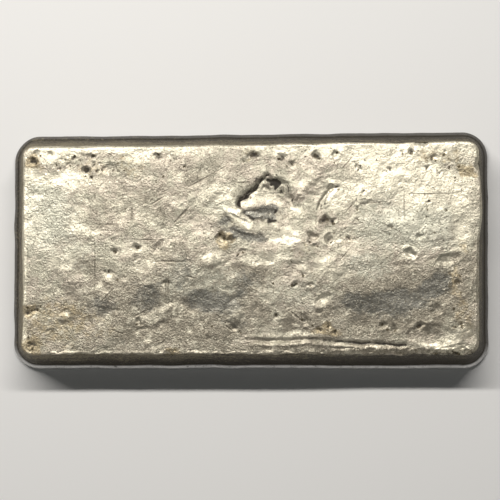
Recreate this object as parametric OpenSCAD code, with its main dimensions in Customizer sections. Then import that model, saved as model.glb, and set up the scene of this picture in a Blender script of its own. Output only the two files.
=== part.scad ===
// Poured metal bar: one casting from an open, tapered mould, lying on its wide pour face.
// Millimetres, +Z up, origin at the middle of the underside, length along X.
// The smaller face, which froze against the floor of the mould, is on top.

/* [Bar] */
// Length over the foot bead
bar_l = 116; // [90:0.5:150]
// Width over the foot bead
bar_w = 57.4; // [50:0.1:80]
// Height from the underside to the face
bar_h = 16; // [10:0.1:24]
// Corner radius in plan, over the foot bead
corner_r = 6.2; // [4.6:0.1:14]

/* [Mould] */
// Draft of the mould's walls, in degrees from vertical
wall_draft = 12; // [4:0.5:16]
// Radius of the worn edge around the face
face_edge_r = 1.8; // [0.5:0.1:3]
// Radius of the bead that the melt left along the mould's rim
bead_r = 1.5; // [0.8:0.1:2.5]
// How far the bead stands out from the foot of the wall
bead_out = 0.4; // [0.2:0.05:0.8]

/* [Shrinkage crater] */
// Middle of the crater from the middle of the face, along X
crater_x = 4; // [-20:0.5:20]
// Middle of the crater from the middle of the face, along Y
crater_y = 12; // [-12:0.5:12]
// Distance of each scoop of the crater from its middle
crater_pitch = 2.8; // [1:0.1:4]
// Radius of a scoop at the level of the face
scoop_r = 3.1; // [2:0.1:5]
// Depth of the deepest scoop
crater_depth = 0.9; // [0.3:0.05:1.5]

/* [Gas pits] */
// Radius of a pit at the level of the face
pit_r = 1.2; // [0.6:0.1:2]
// Depth of a pit
pit_depth = 0.6; // [0.2:0.05:1]

/* [Cold shut] */
// Middle of the crease from the middle of the face, along X
crease_x = 17.6; // [0:0.1:25]
// Gap between the middle of the crease and the edge of the face
crease_inset = 2.4; // [1.5:0.1:8]
// Length of the crease
crease_l = 39; // [20:1:60]
// Width of the crease at its middle
crease_w = 0.8; // [0.4:0.1:1.2]
// Depth of the crease at its middle
crease_depth = 0.4; // [0.2:0.05:0.8]
// Turn of the crease from the bar's length, in degrees
crease_turn = -1.8; // [-3:0.1:3]

/* [Edge nicks] */
// Radius of the hollow that a knock left in the edge of the face
nick_r = 2.5; // [1:0.1:4]
// Depth of a nick
nick_depth = 0.35; // [0.1:0.05:0.6]

/* [Hidden] */
$fn = 96;

// Distance that a wall leans in from the underside up to the face
wall_lean = bar_h * tan(wall_draft);
// Corner radius in plan where the walls would meet the face
face_corner_r = corner_r - bead_out - wall_lean;
// Half the width of the face, measured to its sharp edge
face_half_w = bar_w / 2 - bead_out - wall_lean;

// The worn edge is a fillet, and it can be no rounder than the corner leaves room for
run_per_r = tan((90 - wall_draft) / 2);
edge_r = min(face_edge_r, 0.95 * face_corner_r / run_per_r);
// Middle of the fillet's arc, from the axis of a corner and from the underside
edge_x = face_corner_r - edge_r * run_per_r;
edge_z = bar_h - edge_r;

// Depth of each scoop of the crater as a share of the deepest, and the bearing of the first
scoop_shares = [1, 0.75, 0.6];
first_scoop_at = 80;
// Middles of the gas pits, from the middle of the crater
pit_places = [[10.2, -5.4], [6.6, -9], [10.6, -9.6]];
// Nicks in the edge of the face: the bearing of the side, and how far along it from its middle
nicks = [[0, 19.6], [90, -40.9], [270, 49]];

// Distance of the wall line from the axis of a corner, at a height
function wall_at(z) = corner_r - bead_out - z * tan(wall_draft);

// Radius of the ball that leaves a dish of this radius and depth in a flat face
function ball_r(dish_r, depth) = (dish_r * dish_r + depth * depth) / (2 * depth);

// Section of the bar's rim, from the axis of a corner out to the bead
module rim_section() {
    intersection() {
        square([corner_r, bar_h]);
        union() {
            polygon([
                [0, 0],
                [corner_r - bead_r, 0],
                [wall_at(bead_r), bead_r],
                [edge_x + edge_r * cos(wall_draft), edge_z + edge_r * sin(wall_draft)],
                [edge_x, bar_h],
                [0, bar_h]
            ]);
            translate([corner_r - bead_r, bead_r]) circle(bead_r);
            translate([edge_x, edge_z]) circle(edge_r);
        }
    }
}

// Straight stretch of the rim along X
module straight_rim(length) {
    rotate([90, 0, 90]) linear_extrude(length, center = true) rim_section();
}

// Quarter turn of the rim around a corner
module corner_rim() {
    rotate_extrude(angle = 90) rim_section();
}

// Casting before any damage, as it left the mould: a core with the rim around it
module mould_shape() {
    core_l = bar_l - 2 * corner_r;
    core_w = bar_w - 2 * corner_r;
    translate([-core_l / 2, -core_w / 2, 0]) cube([core_l, core_w, bar_h]);
    for (flip = [0, 1]) {
        mirror([0, flip, 0]) translate([0, core_w / 2, 0]) straight_rim(core_l);
        mirror([flip, 0, 0]) translate([core_l / 2, 0, 0]) rotate([0, 0, -90]) straight_rim(core_w);
    }
    for (flip_x = [0, 1], flip_y = [0, 1])
        mirror([flip_x, 0, 0])
            mirror([0, flip_y, 0])
                translate([core_l / 2, core_w / 2, 0]) corner_rim();
}

// Round dish to cut from the face, with the poles of its ball clear of the face
module dish(x, y, dish_r, depth) {
    r = ball_r(dish_r, depth);
    translate([x, y, bar_h - depth + r]) rotate([90, 0, 0]) sphere(r);
}

// Hollow where the metal sank as it froze: three scoops that run into each other
module crater() {
    for (k = [0 : len(scoop_shares) - 1]) {
        at = first_scoop_at + 360 * k / len(scoop_shares);
        dish(
            crater_x + crater_pitch * cos(at),
            crater_y + crater_pitch * sin(at),
            scoop_r,
            crater_depth * scoop_shares[k]
        );
    }
}

// Holes that gas left beside the crater
module gas_pits() {
    for (p = pit_places) dish(crater_x + p[0], crater_y + p[1], pit_r, pit_depth);
}

// Crease where two streams of metal met without fusing: a groove as a thin wheel with a
// sharp rim would cut it, deepest in its middle and running out at both ends
module cold_shut() {
    wheel_r = ball_r(crease_l / 2, crease_depth);
    rim_slope = crease_w / 2 / crease_depth;
    rim_deep = 3 * crease_depth;
    translate([crease_x, crease_inset - face_half_w, bar_h - crease_depth + wheel_r])
        rotate([90, 0, crease_turn])
            rotate_extrude()
                polygon([
                    [wheel_r, 0],
                    [wheel_r - rim_deep, rim_deep * rim_slope],
                    [wheel_r - rim_deep, -rim_deep * rim_slope]
                ]);
}

// Knock in the worn edge of the face, square to the middle of the fillet's arc
module edge_nick(bearing, along) {
    span = bearing % 180 == 0 ? bar_l : bar_w;
    rise = (90 + wall_draft) / 2;
    stand_off = edge_r + nick_r - nick_depth;
    rotate([0, 0, bearing])
        translate([
            span / 2 - corner_r + edge_x + stand_off * cos(rise),
            along,
            edge_z + stand_off * sin(rise)
        ])
            sphere(nick_r);
}

// The whole casting, one solid
module ingot() {
    color([0.72, 0.69, 0.61])
        difference() {
            mould_shape();
            crater();
            gas_pits();
            cold_shut();
            for (n = nicks) edge_nick(n[0], n[1]);
        }
}

ingot();
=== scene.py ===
# %% [markdown]
# # A poured silver bar
# Silver was tipped into a tapered iron mould, froze, and was knocked out upside down: the face
# that lay on the mould's floor now looks up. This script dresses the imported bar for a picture
# from straight above. It models the bar once more as a fine mesh, wears and pits it, paints its
# tarnish, and lights it with one long lamp.

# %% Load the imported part
import math
from functools import partial

import bpy
import numpy as np
from mathutils import Matrix, Vector


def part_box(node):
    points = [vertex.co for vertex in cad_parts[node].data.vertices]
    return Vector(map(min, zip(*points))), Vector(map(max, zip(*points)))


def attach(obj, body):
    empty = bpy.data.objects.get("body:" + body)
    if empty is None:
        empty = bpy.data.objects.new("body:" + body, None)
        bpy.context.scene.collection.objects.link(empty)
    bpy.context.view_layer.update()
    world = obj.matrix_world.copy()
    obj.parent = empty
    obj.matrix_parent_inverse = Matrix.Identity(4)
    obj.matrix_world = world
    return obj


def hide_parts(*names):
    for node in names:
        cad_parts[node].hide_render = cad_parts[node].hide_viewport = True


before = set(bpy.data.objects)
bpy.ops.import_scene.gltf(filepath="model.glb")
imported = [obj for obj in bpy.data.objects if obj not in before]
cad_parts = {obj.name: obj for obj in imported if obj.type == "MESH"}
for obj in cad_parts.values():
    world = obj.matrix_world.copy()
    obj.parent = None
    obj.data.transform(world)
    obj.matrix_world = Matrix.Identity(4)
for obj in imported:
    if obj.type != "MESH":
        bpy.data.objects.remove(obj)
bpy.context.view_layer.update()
bpy.context.scene.view_settings.view_transform = "Standard"
MM = 0.001
bar_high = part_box("ingot")[1]
half_l = bar_high.x
half_w = bar_high.y
bar_h = bar_high.z
print("bar of", [round(side / MM, 1) for side in (2 * half_l, 2 * half_w, bar_h)], "mm")

# %% [markdown]
# ## The section of the rim
# A line across the rim starts on the flat of the face, turns over the edge, runs down a wall that
# leans out by the mould's draft, and ends in a round bead where the melt met the mould's lip. It
# could be drawn as a curve and swept, but the face needs a fine, even grid of its own, so the
# section is kept as a list of places that the grid's edge is drawn out to, ring by ring. The edge
# is crisp in some stretches and worn round in others, so the section is made twice.

# %% Places along the rim's section
corner_r = 6.2 * MM
draft = math.radians(12)
worn_r = 1.4 * MM
crisp_r = 0.55 * MM
bead_r = 1.5 * MM
bead_out = 0.4 * MM
lean = math.tan(draft)
edge_steps = 7
wall_steps = 14
bead_steps = 8
face_corner_r = corner_r - bead_out - bar_h * lean
bead_x = corner_r - bead_r


def wall_x(z):
    """Reach of the wall from a corner's axis, at a height."""
    return corner_r - bead_out - z * lean


def bead_top():
    """Height at which the wall runs into the bead."""
    # The wall's line crosses the bead's circle where a * z * z - 2 * b * z + inside * inside is 0.
    inside = bead_r - bead_out
    a = lean * lean + 1
    b = lean * inside + bead_r
    return (b + math.sqrt(b * b - a * inside * inside)) / a


def rim_places(edge_r):
    """Reach and height of the flat's end and of each ring after it, down to the underside."""
    flat_r = face_corner_r - edge_r * math.tan((math.pi / 2 - draft) / 2)
    edge_z = bar_h - edge_r
    places = [(flat_r, bar_h)]
    for k in range(1, edge_steps + 1):
        turn = math.pi / 2 + (draft - math.pi / 2) * k / edge_steps
        places.append((flat_r + edge_r * math.cos(turn), edge_z + edge_r * math.sin(turn)))
    top = places[-1][1]
    low = bead_top()
    for k in range(1, wall_steps + 1):
        z = top + (low - top) * k / wall_steps
        places.append((wall_x(z), z))
    start = math.atan2(low - bead_r, wall_x(low) - bead_x)
    for k in range(1, bead_steps + 1):
        turn = start + (-math.pi / 2 - start) * k / bead_steps
        places.append((bead_x + bead_r * math.cos(turn), bead_r + bead_r * math.sin(turn)))
    places.append((bead_x - bead_r, 0.0))
    return np.array(places)


worn_rim = rim_places(worn_r)
crisp_rim = rim_places(crisp_r)
ring_count = len(worn_rim) - 1
print("rings around the rim:", ring_count, "- bead meets the wall at", round(bead_top() / MM, 2), "mm")

# %% [markdown]
# ## The blank
# The face is a grid with cells of about 0.3 mm, close to what the picture can show, so that pits
# and dents can be pressed into it. A few closer rows at each side fold round the corners. The
# grid's outer loop is then extruded once for each place on the section. A remeshed CAD solid
# would spend as many faces on the hidden underside as on the face.

# %% Face grid, drawn out over the rim
cells_x = 350
cells_y = 152
corner_cells = 6
core_x = half_l - corner_r
core_y = half_w - corner_r
grid_x = cells_x + 2 * corner_cells
grid_y = cells_y + 2 * corner_cells

bpy.ops.object.select_all(action="DESELECT")
bpy.ops.mesh.primitive_grid_add(x_subdivisions=grid_x, y_subdivisions=grid_y, size=2)
bar = bpy.context.object
bar.name = "poured_bar"
bpy.ops.object.mode_set(mode="EDIT")
bpy.ops.mesh.select_mode(type="EDGE")
bpy.ops.mesh.select_all(action="SELECT")
bpy.ops.mesh.region_to_loop()
for _ in range(ring_count):
    bpy.ops.mesh.extrude_region()
bpy.ops.object.mode_set(mode="OBJECT")
print("face grid", grid_x, "x", grid_y, "cells of", round(2 * core_x / cells_x / MM, 3), "mm")

# %% [markdown]
# ## Where the edge is worn
# Every vertex now gets its place: along the core by its row, then outward along the section. How
# crisp the edge is depends on the side it faces. The left, the right and most of the near side are
# crisp, the near side's right end is worn round, and the far side is half worn at its left end. A
# Bevel with weights could do that too, but later steps count on the rings, so sections are mixed.

# %% Lay the rings out along the section
def read_points(piece):
    """The piece's vertices as an array of rows x, y, z."""
    points = np.empty(len(piece.data.vertices) * 3)
    piece.data.vertices.foreach_get("co", points)
    return points.reshape(-1, 3)


def write_points(piece, points):
    """Moves the piece's vertices to these rows x, y, z."""
    piece.data.vertices.foreach_set("co", points.ravel())
    piece.data.update()


def spread(share, cells, core):
    """Grid lines from -1 to 1 laid evenly over the core, with the corner rows past its ends."""
    line = np.abs(share) * (cells / 2 + corner_cells)
    past = np.clip(line - cells / 2, 0, None) / corner_cells
    inner = np.clip(line, 0, cells / 2) / (cells / 2) * core
    return np.sign(share) * inner, np.sign(share) * past


points = read_points(bar)
axis_x, out_x = spread(points[:, 0], cells_x, core_x)
axis_y, out_y = spread(points[:, 1], cells_y, core_y)
round_x = out_x * np.sqrt(1 - out_y**2 / 2)
round_y = out_y * np.sqrt(1 - out_x**2 / 2)
face_count = (grid_x + 1) * (grid_y + 1)
loop_count = 2 * (grid_x + grid_y)
place_of = np.zeros(len(points), int)
for k in range(ring_count):
    place_of[face_count + k * loop_count: face_count + (k + 1) * loop_count] = k + 1
bearing = np.maximum(np.hypot(round_x, round_y), 1e-9)
to_right = round_x / bearing
to_far = round_y / bearing
at_right, at_far, at_near = [np.clip(way, 0, 1) for way in (to_right, to_far, -to_far)]
along_mm = axis_x / MM
across_mm = axis_y / MM
sharp_y = 14
sharp_half = 7
far_run = 80
wear_x = 19
wear_run = 16
crisp = 0.45 - 0.45 * to_right + 0.55 * to_far
crisp += at_right * (0.6 + 0.4 * np.exp(-((across_mm - sharp_y) / sharp_half)**2))
crisp -= 0.5 * at_far * np.clip(0.5 - along_mm / far_run, 0, 1)
crisp += at_near * np.clip(0.5 - (along_mm - wear_x) / wear_run, 0, 1)
crisp = np.clip(crisp, 0, 1)
reach, height = (worn_rim[place_of] + crisp[:, None] * (crisp_rim - worn_rim)[place_of]).T
points = np.column_stack((axis_x + reach * round_x, axis_y + reach * round_y, height))
write_points(bar, points)
print("crisp share of the rim:", round(100 * float((crisp[place_of > 0] > 0.5).mean())), "%")

# %% [markdown]
# ## The underside
# The pour face lies on the floor and is hidden. A coarse grid closes it, and a bridge of
# triangles joins its edge to the last ring, since nothing small has to show there.

# %% Close the underside
under_x = 64
under_y = 28
bpy.ops.object.mode_set(mode="EDIT")
bpy.ops.mesh.primitive_grid_add(x_subdivisions=under_x, y_subdivisions=under_y, size=2)
bpy.ops.mesh.flip_normals()
bpy.ops.object.mode_set(mode="OBJECT")
points = read_points(bar)
first_under = face_count + ring_count * loop_count
points[first_under:] *= (core_x - bead_r, core_y - bead_r, 0)
write_points(bar, points)
bpy.ops.object.mode_set(mode="EDIT")
bpy.ops.mesh.select_mode(type="EDGE")
bpy.ops.mesh.select_all(action="SELECT")
bpy.ops.mesh.region_to_loop()
bpy.ops.mesh.bridge_edge_loops()
bpy.ops.mesh.select_all(action="SELECT")
bpy.ops.mesh.normals_make_consistent(inside=False)
bpy.ops.object.mode_set(mode="OBJECT")
bpy.ops.object.shade_smooth()
bar.data.calc_loop_triangles()
print("bar mesh:", len(bar.data.vertices), "vertices,", len(bar.data.loop_triangles), "triangles")

# %% [markdown]
# ## Placing marks by the photograph
# Most of what makes this bar itself is damage: a sunken crater, gas pits, dents and scratches.
# Each one is listed by its pixel in the 500 x 500 photograph, and this helper turns a pixel into
# a place on the face. The camera looks almost straight down, so one scale serves the whole face.

# %% From a pixel to a place on the face
face_px_x = 251.2
face_px_y = 249.2
px_per_mm = 4.196


def face_spot(px, py):
    """Place on the face, in millimetres, that a pixel of the photograph shows."""
    return (px - face_px_x) / px_per_mm, (face_px_y - py) / px_per_mm


print("pixel 300, 200 shows", [round(value, 2) for value in face_spot(300, 200)], "mm on the face")

# %% [markdown]
# ## The parts of the skin
# The relief and the tarnish both need to know which vertices lie on the face, on the worn edge,
# on the walls and on the bead. The rings were extruded in order, so their numbers tell.

# %% Which ring a vertex belongs to
points = read_points(bar)
base_x, base_y, base_z = points.T / MM
core_x_mm, core_y_mm, half_l_mm, half_w_mm, height_mm = np.array([core_x, core_y, half_l, half_w, bar_h]) / MM
ring_of = np.full(len(points), ring_count)
ring_of[:first_under] = place_of - 1
no_rim = np.zeros(len(points) - first_under)
crisp = np.append(crisp, no_rim)
past_core = np.append(np.hypot(out_x, out_y), no_rim)
near_side = np.append(at_near**2, no_rim)
bead_from = edge_steps + wall_steps
bead_end = ring_count - 4
is_face = ring_of < 0
is_edge = (ring_of >= 0) & (ring_of < edge_steps)
is_wall = (ring_of >= edge_steps) & (ring_of < bead_from)
is_bead = (ring_of >= bead_from) & (ring_of < bead_end)
is_top = is_face | is_edge
for name, part in (("face", is_face), ("edge", is_edge), ("walls", is_wall), ("bead", is_bead)):
    print("vertices on the", name + ":", int(part.sum()))

# %% [markdown]
# ## The skin of the casting
# No casting is flat: the metal shrinks as it freezes, and the skin takes the grain of the mould.
# Sculpting brushes would do this by hand; here Displace modifiers with cloud textures of three
# sizes lift and sink the skin, from slow waves to a fine crinkle. A vertex group says how much each
# part takes: the face and its edge most, the walls less, and the underside nothing, because the
# bar rests on it. Rows give the size of the clouds, their height from lowest to highest, both in
# millimetres, and the octaves.

# %% Waves and crinkles
skin = bar.vertex_groups.new(name="skin")
for part, weight in ((is_face, 1.0), (is_edge, 0.9), (is_wall, 0.5), (is_bead, 0.3)):
    skin.add(np.flatnonzero(part).tolist(), weight, "REPLACE")
bpy.ops.object.select_all(action="DESELECT")
bar.select_set(True)
bpy.context.view_layer.objects.active = bar
for name, size, lift, octaves in [
    ("slow_waves", 11, 0.55, 1), ("lumps", 4.2, 0.24, 1), ("crinkle", 1.7, 0.11, 2),
]:
    texture = bpy.data.textures.new(name, "CLOUDS")
    texture.noise_scale = size * MM
    texture.noise_depth = octaves
    layer = bar.modifiers.new(name, "DISPLACE")
    layer.texture = texture
    layer.texture_coords = "LOCAL"
    layer.strength = lift * MM
    layer.vertex_group = "skin"
    bpy.ops.object.modifier_apply(modifier=name)
face_heights = read_points(bar)[is_face, 2] / MM
print("skin lies between", round(face_heights.min(), 2), "and", round(face_heights.max(), 2), "mm")

# %% [markdown]
# ## Noise for ragged edges
# A pit stamped as a clean circle looks machined. Every mark below is measured in coordinates that
# wander a little, so its outline comes out ragged. The wandering comes from seeded random values
# on a lattice, blended smoothly, and is the same in every run.

# %% Wandering coordinates
lattice_side = 256
lattice_turn = 0.4
lattice_lean = 0.3


def lumps(size, seed):
    """Smooth random values from -1 to 1 over the bar, with lumps of about this size in mm."""
    lattice = np.random.default_rng(seed).uniform(-1, 1, (lattice_side, lattice_side))
    column = (base_x + lattice_turn * base_y + lattice_lean * base_z) / size + lattice_side / 2
    row = (base_y - lattice_turn * base_x + lattice_lean * base_z) / size + lattice_side / 2
    left = np.floor(column).astype(int)
    below = np.floor(row).astype(int)
    to_next = (column - left)**2 * (3 - 2 * (column - left))
    upward = (row - below)**2 * (3 - 2 * (row - below))
    left, right = left % lattice_side, (left + 1) % lattice_side
    below, above = below % lattice_side, (below + 1) % lattice_side
    lower = lattice[left, below] * (1 - to_next) + lattice[right, below] * to_next
    upper = lattice[left, above] * (1 - to_next) + lattice[right, above] * to_next
    return lower * (1 - upward) + upper * upward


def wander(coarse, fine, seed):
    """Two layers of lumps added up, each given by its reach and its size in mm."""
    return coarse[0] * lumps(coarse[1], seed) + fine[0] * lumps(fine[1], seed + 1)


spot_x = base_x + wander((0.42, 1.3), (0.26, 0.6), 1)
spot_y = base_y + wander((0.42, 1.3), (0.26, 0.6), 3)
line_x = base_x + wander((0.20, 2.2), (0.08, 0.9), 12)
line_y = base_y + wander((0.20, 2.2), (0.08, 0.9), 14)
print("spots wander by up to", round(np.abs(spot_x - base_x).max(), 2), "mm")

# %% [markdown]
# ## Pits, dents and blots
# Pits and dents are hollows: each is a bowl with a small lip, given as a height in millimetres at
# every vertex. Paint and soot come in blots, given as a share from 0 to 1. A brush could set them
# down by hand, but a list of ovals can be counted and corrected.

# %% Hollow and blot
def oval(x, y, wide, tall, turn=0):
    """Distance from the middle of an oval of the photograph: 1 on its outline."""
    mid_x, mid_y = face_spot(x, y)
    lean_by = math.radians(turn)
    dx = (spot_x - mid_x) * px_per_mm
    dy = (spot_y - mid_y) * px_per_mm
    along = (dx * math.cos(lean_by) + dy * math.sin(lean_by)) / wide
    across = (dy * math.cos(lean_by) - dx * math.sin(lean_by)) / tall
    return np.hypot(along, across)


def hollow(x, y, wide, tall, depth, turn=0, lip=0.15):
    """Bowl with a lip just outside its outline, which stands a share of its depth proud."""
    lip_at = 1.15
    lip_half = 0.22
    gap = oval(x, y, wide, tall, turn)
    bowl = np.clip(1 - gap**2, 0, 1)**0.75
    return depth * (lip * np.exp(-((gap - lip_at) / lip_half)**2) - bowl)


def blot(x, y, wide, tall, full, fade, turn=0):
    """Share from 1 in the middle of an oval, falling by fade over each half size, to 0."""
    return np.clip(full - fade * oval(x, y, wide, tall, turn), 0, 1)


print("a pit of 1 mm sinks the skin by", round(-hollow(250, 250, 20, 20, 1).min(), 2), "mm")

# %% [markdown]
# ## Marks along lines
# A seam is a ridge or a groove along a line, given as a height. A stroke is a ragged band along a
# line, and an area fills an outline, for places where the skin fell in with a step around it: both
# are shares. Curves with a bevel could make ridges, but they wouldn't melt into the skin. So all
# of them are worked out from the distance to a line through pixels of the photograph.

# %% Seam, stroke and area
def line_gap(line, at_x, at_y):
    """Distance in pixels from a line through pixels of the photograph, and the place along it."""
    gap = np.full(len(base_x), 1e6)
    place = np.zeros(len(base_x))
    for k in range(len(line) - 1):
        ax, ay = face_spot(*line[k])
        bx, by = face_spot(*line[k + 1])
        run = ((at_x - ax) * (bx - ax) + (at_y - ay) * (by - ay)) / ((bx - ax)**2 + (by - ay)**2)
        run = np.clip(run, 0, 1)
        here = np.hypot(at_x - ax - run * (bx - ax), at_y - ay - run * (by - ay)) * px_per_mm
        place = np.where(here < gap, (k + run) / (len(line) - 1), place)
        gap = np.minimum(gap, here)
    return gap, place


def seam(line, wide, height):
    """Ridge of this half width in pixels along a line, or a groove where the height is negative."""
    gap, place = line_gap(line, line_x, line_y)
    taper = np.clip(6 * place * (1 - place) + 0.25, 0, 1)
    return height * taper * np.clip(1 - gap / wide, 0, 1)**1.3


def stroke(line, wide):
    """Share from 1 on a line through pixels to 0 at this distance in pixels, with a ragged edge."""
    return np.clip(1.5 - 1.5 * line_gap(line, spot_x, spot_y)[0] / wide, 0, 1)


def area(outline, soft):
    """Share from 0 on an outline through pixels to 1 this many pixels inside it."""
    inside = np.zeros(len(base_x), bool)
    ring = outline + outline[:1]
    for k in range(len(outline)):
        ax, ay = face_spot(*ring[k])
        bx, by = face_spot(*ring[k + 1])
        crosses = (ay > spot_y) != (by > spot_y)
        level = ax + (spot_y - ay) * (bx - ax) / (by - ay if by != ay else 1e-9)
        inside ^= crosses & (spot_x < level)
    gap = line_gap(ring, spot_x, spot_y)[0]
    return np.where(inside, np.clip(gap / soft, 0, 1), 0)


trial_square = [(200, 200), (300, 200), (300, 300), (200, 300)]
print("vertices of the face in 100 x 100 pixels:", int((area(trial_square, 1)[is_face] > 0).sum()))

# %% [markdown]
# ## The fall of the face
# The near half of the photographed face is darker, as it is where a face falls away from the lamp.
# A slow slope of a third of a millimetre does that, and every mark is then added to it.

# %% Let the near half fall
fall = 0.35
fall_run = 23
relief = -fall * np.clip(-base_y / fall_run, 0, 1)**2
print("the near edge lies", round(-relief.min(), 2), "mm lower")

# %% [markdown]
# ## The crater
# The last metal to freeze had nothing left to feed it, so the skin sank. The hollow has a ragged
# cliff at its upper left with a cave beside it, a bright tongue of metal across its middle, and a
# grey lens below that. Thin folds run down from its left end.

# %% Sink the crater
cliff_foot = [(240, 206), (242, 201), (249, 196), (256, 190), (259, 184), (265, 179), (270, 176)]
cliff_top = [(237, 207), (239, 196), (247, 192), (254, 186), (256, 179), (263, 176), (271, 174)]
crater_rim = cliff_top + [(284, 177), (294, 190), (294, 214), (277, 223), (246, 217)]
cave = [
    (266, 181), (274, 177), (280, 178), (284, 183), (280, 188), (276, 191), (273, 187), (270, 185),
    (267, 184),
]
lens = [
    (241, 210), (247, 207), (256, 208), (262, 205), (280, 204), (280, 219), (272, 222), (260, 218),
    (246, 217),
]
relief += hollow(268, 203, 32, 24, 0.42, turn=12, lip=0.05)
relief -= 0.40 * area(crater_rim, 6)
relief -= 0.35 * stroke(cliff_foot, 3)
relief += seam([(246, 208), (262, 207.5), (284, 209)], 10, 0.26)
relief += seam([(252, 194), (257, 207)], 2.5, 0.15)
relief -= 0.08 * area(lens, 4)
relief -= 0.35 * area(cave, 2.5)
relief -= 0.20 * stroke([(243, 216), (258, 218), (277, 221)], 3)
relief += hollow(283.5, 192, 3, 4, 0.4)
relief += hollow(269, 188.5, 3.2, 3, 0.3)
relief += hollow(292, 199, 2.5, 9, 0.25, turn=8)
for fold, height in [
    ([(225, 209), (230, 216), (233, 221)], 0.28), ([(228, 211), (240, 216), (256, 222)], 0.28),
    ([(233, 225), (244, 228), (256, 231)], 0.22), ([(234, 229), (244, 231.5), (256, 234)], 0.18),
]:
    relief += seam(fold, 1.9, height)
relief += hollow(289, 251, 28, 13, -0.18, lip=0)
print("deepest point of the crater:", round(-relief.min(), 2), "mm")

# %% [markdown]
# ## Gas pits and dents
# Gas left round pits, which hold soot. Knocks left shallow dents, longer than they are wide, and
# a dent with a negative depth is a swelling. The bottoms of both are darkened: soot, and painted
# shade in the hollow. Rows give the pixel of the middle, the half sizes in pixels, the depth in
# millimetres, how much the bottom is darkened, and the turn in degrees, if any.

# %% Press pits and dents into the face
pits = [
    (326, 221, 6, 5, 0.6, 1, 10), (333, 222, 4, 4, 0.4, 0.9), (330, 240, 4, 5, 0.45, 0.7),
    (350, 240, 2, 2, 0.3, 1), (314, 246, 4, 2.5, 0.35, 0.8), (310, 242, 3, 2, 0.25, 0.6),
    (138, 248, 5, 3.5, 0.35, 0.9, -20), (115, 251, 4, 2, 0.3, 0.8), (162, 211, 2.2, 2.2, 0.25, 0.2),
    (420, 326, 4.5, 3, 0.45, 1), (462, 326, 2.6, 2.6, 0.45, 0.9), (458, 283, 3, 3, 0.35, 0.7),
    (277, 315, 2.6, 3, 0.4, 0.9), (384, 326, 4, 3, 0.35, 0.7, 30), (394, 329, 3, 3, 0.3, 0.6),
    (304, 276, 2.2, 2, 0.3, 0.9), (295, 285, 3, 3, 0.35, 0.9, 40), (311, 285, 4, 2, 0.25, 0.7, 10),
    (254, 156, 7, 3.5, 0.35, 0.9), (246, 160, 3, 3, 0.25, 0.6), (283, 158, 6, 4, 0.35, 0.7),
    (293, 165, 3.5, 3, 0.3, 0.7), (317, 156, 6, 3.5, 0.4, 0.9), (337, 156, 5, 2.5, 0.3, 0.6, 20),
    (186, 167, 2, 2, 0.3, 1), (160, 155, 4, 3.5, 0.3, 0.6), (34, 159, 5, 4.5, 0.35, 0.9),
    (37, 150, 5, 2.5, 0.25, 0.5), (50, 151, 3, 2.5, 0.25, 0.5), (87, 169, 4, 3.5, 0.4, 1),
    (94, 164, 2, 4, 0.3, 0.8, 20), (93, 177, 2.5, 2, 0.3, 0.9), (75, 157, 4, 3, 0.3, 0.8),
    (92, 155, 5, 3, 0.3, 0.7), (112, 167, 6, 5, 0.25, 0.3), (358, 209, 2, 2, 0.25, 0.8),
    (358, 220, 3, 1.6, 0.2, 0.7, 40), (429, 203, 1.8, 1.6, 0.25, 0.9), (428, 210, 1.6, 1.6, 0.25, 0.9),
    (429, 218, 1.5, 1.4, 0.25, 0.9), (447, 212, 1.5, 1.5, 0.2, 0.7), (403, 154, 2.4, 1.8, 0.25, 0.8),
    (412, 154, 4, 2.4, 0.3, 0.8), (434, 158, 4, 2.5, 0.25, 0.5), (445, 155, 2.6, 2.2, 0.3, 0.8),
    (427, 169, 2.5, 2, 0.25, 0.7), (391, 170, 2.5, 2, 0.2, 0.5), (360, 169, 3, 3, 0.25, 0.5),
    (37, 308, 4, 2.5, 0.15, 0.7, 20), (30, 312, 3, 3, 0.18, 0.8), (33, 344, 5, 4, 0.18, 0.8),
    (30, 338, 2.5, 3, 0.15, 0.8), (364, 193, 1.6, 4, 0.3, 0.8), (331, 189, 4, 3, 0.35, 0.5, 30),
    (320, 330, 3, 2, 0.25, 0.8), (336, 333, 3, 2.4, 0.25, 0.8), (330, 327, 2, 2, 0.25, 0.7),
    (118, 309, 2, 2, 0.2, 0.5), (66, 312, 6, 3, 0.18, 0.2), (140, 322, 3, 4, 0.3, 0.3),
    (234, 328, 3, 3, 0.25, 0.4), (280, 340, 2, 2, 0.2, 0.6), (168, 283, 5, 3, 0.3, 0.3),
    (62, 158, 2, 1.8, 0.2, 0.8), (68, 163, 2.4, 2, 0.2, 0.8), (80, 161, 2, 2, 0.2, 0.8),
    (84, 154, 2, 1.6, 0.2, 0.8), (99, 171, 2, 2, 0.2, 0.7), (101, 161, 2, 1.6, 0.2, 0.8),
    (105, 168, 1.8, 3, 0.2, 0.7), (119, 170, 2, 1.6, 0.2, 0.7), (60, 168, 1.8, 1.6, 0.2, 0.7),
    (110, 158, 2, 1.6, 0.2, 0.7), (123, 162, 2, 1.6, 0.2, 0.7), (70, 154, 2.4, 1.6, 0.2, 0.8),
    (222, 238, 6, 5, 0.35, 0.5), (232, 240, 3, 4, 0.3, 0.6), (244, 252, 4, 2.5, 0.25, 0.5, 30),
]
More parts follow.
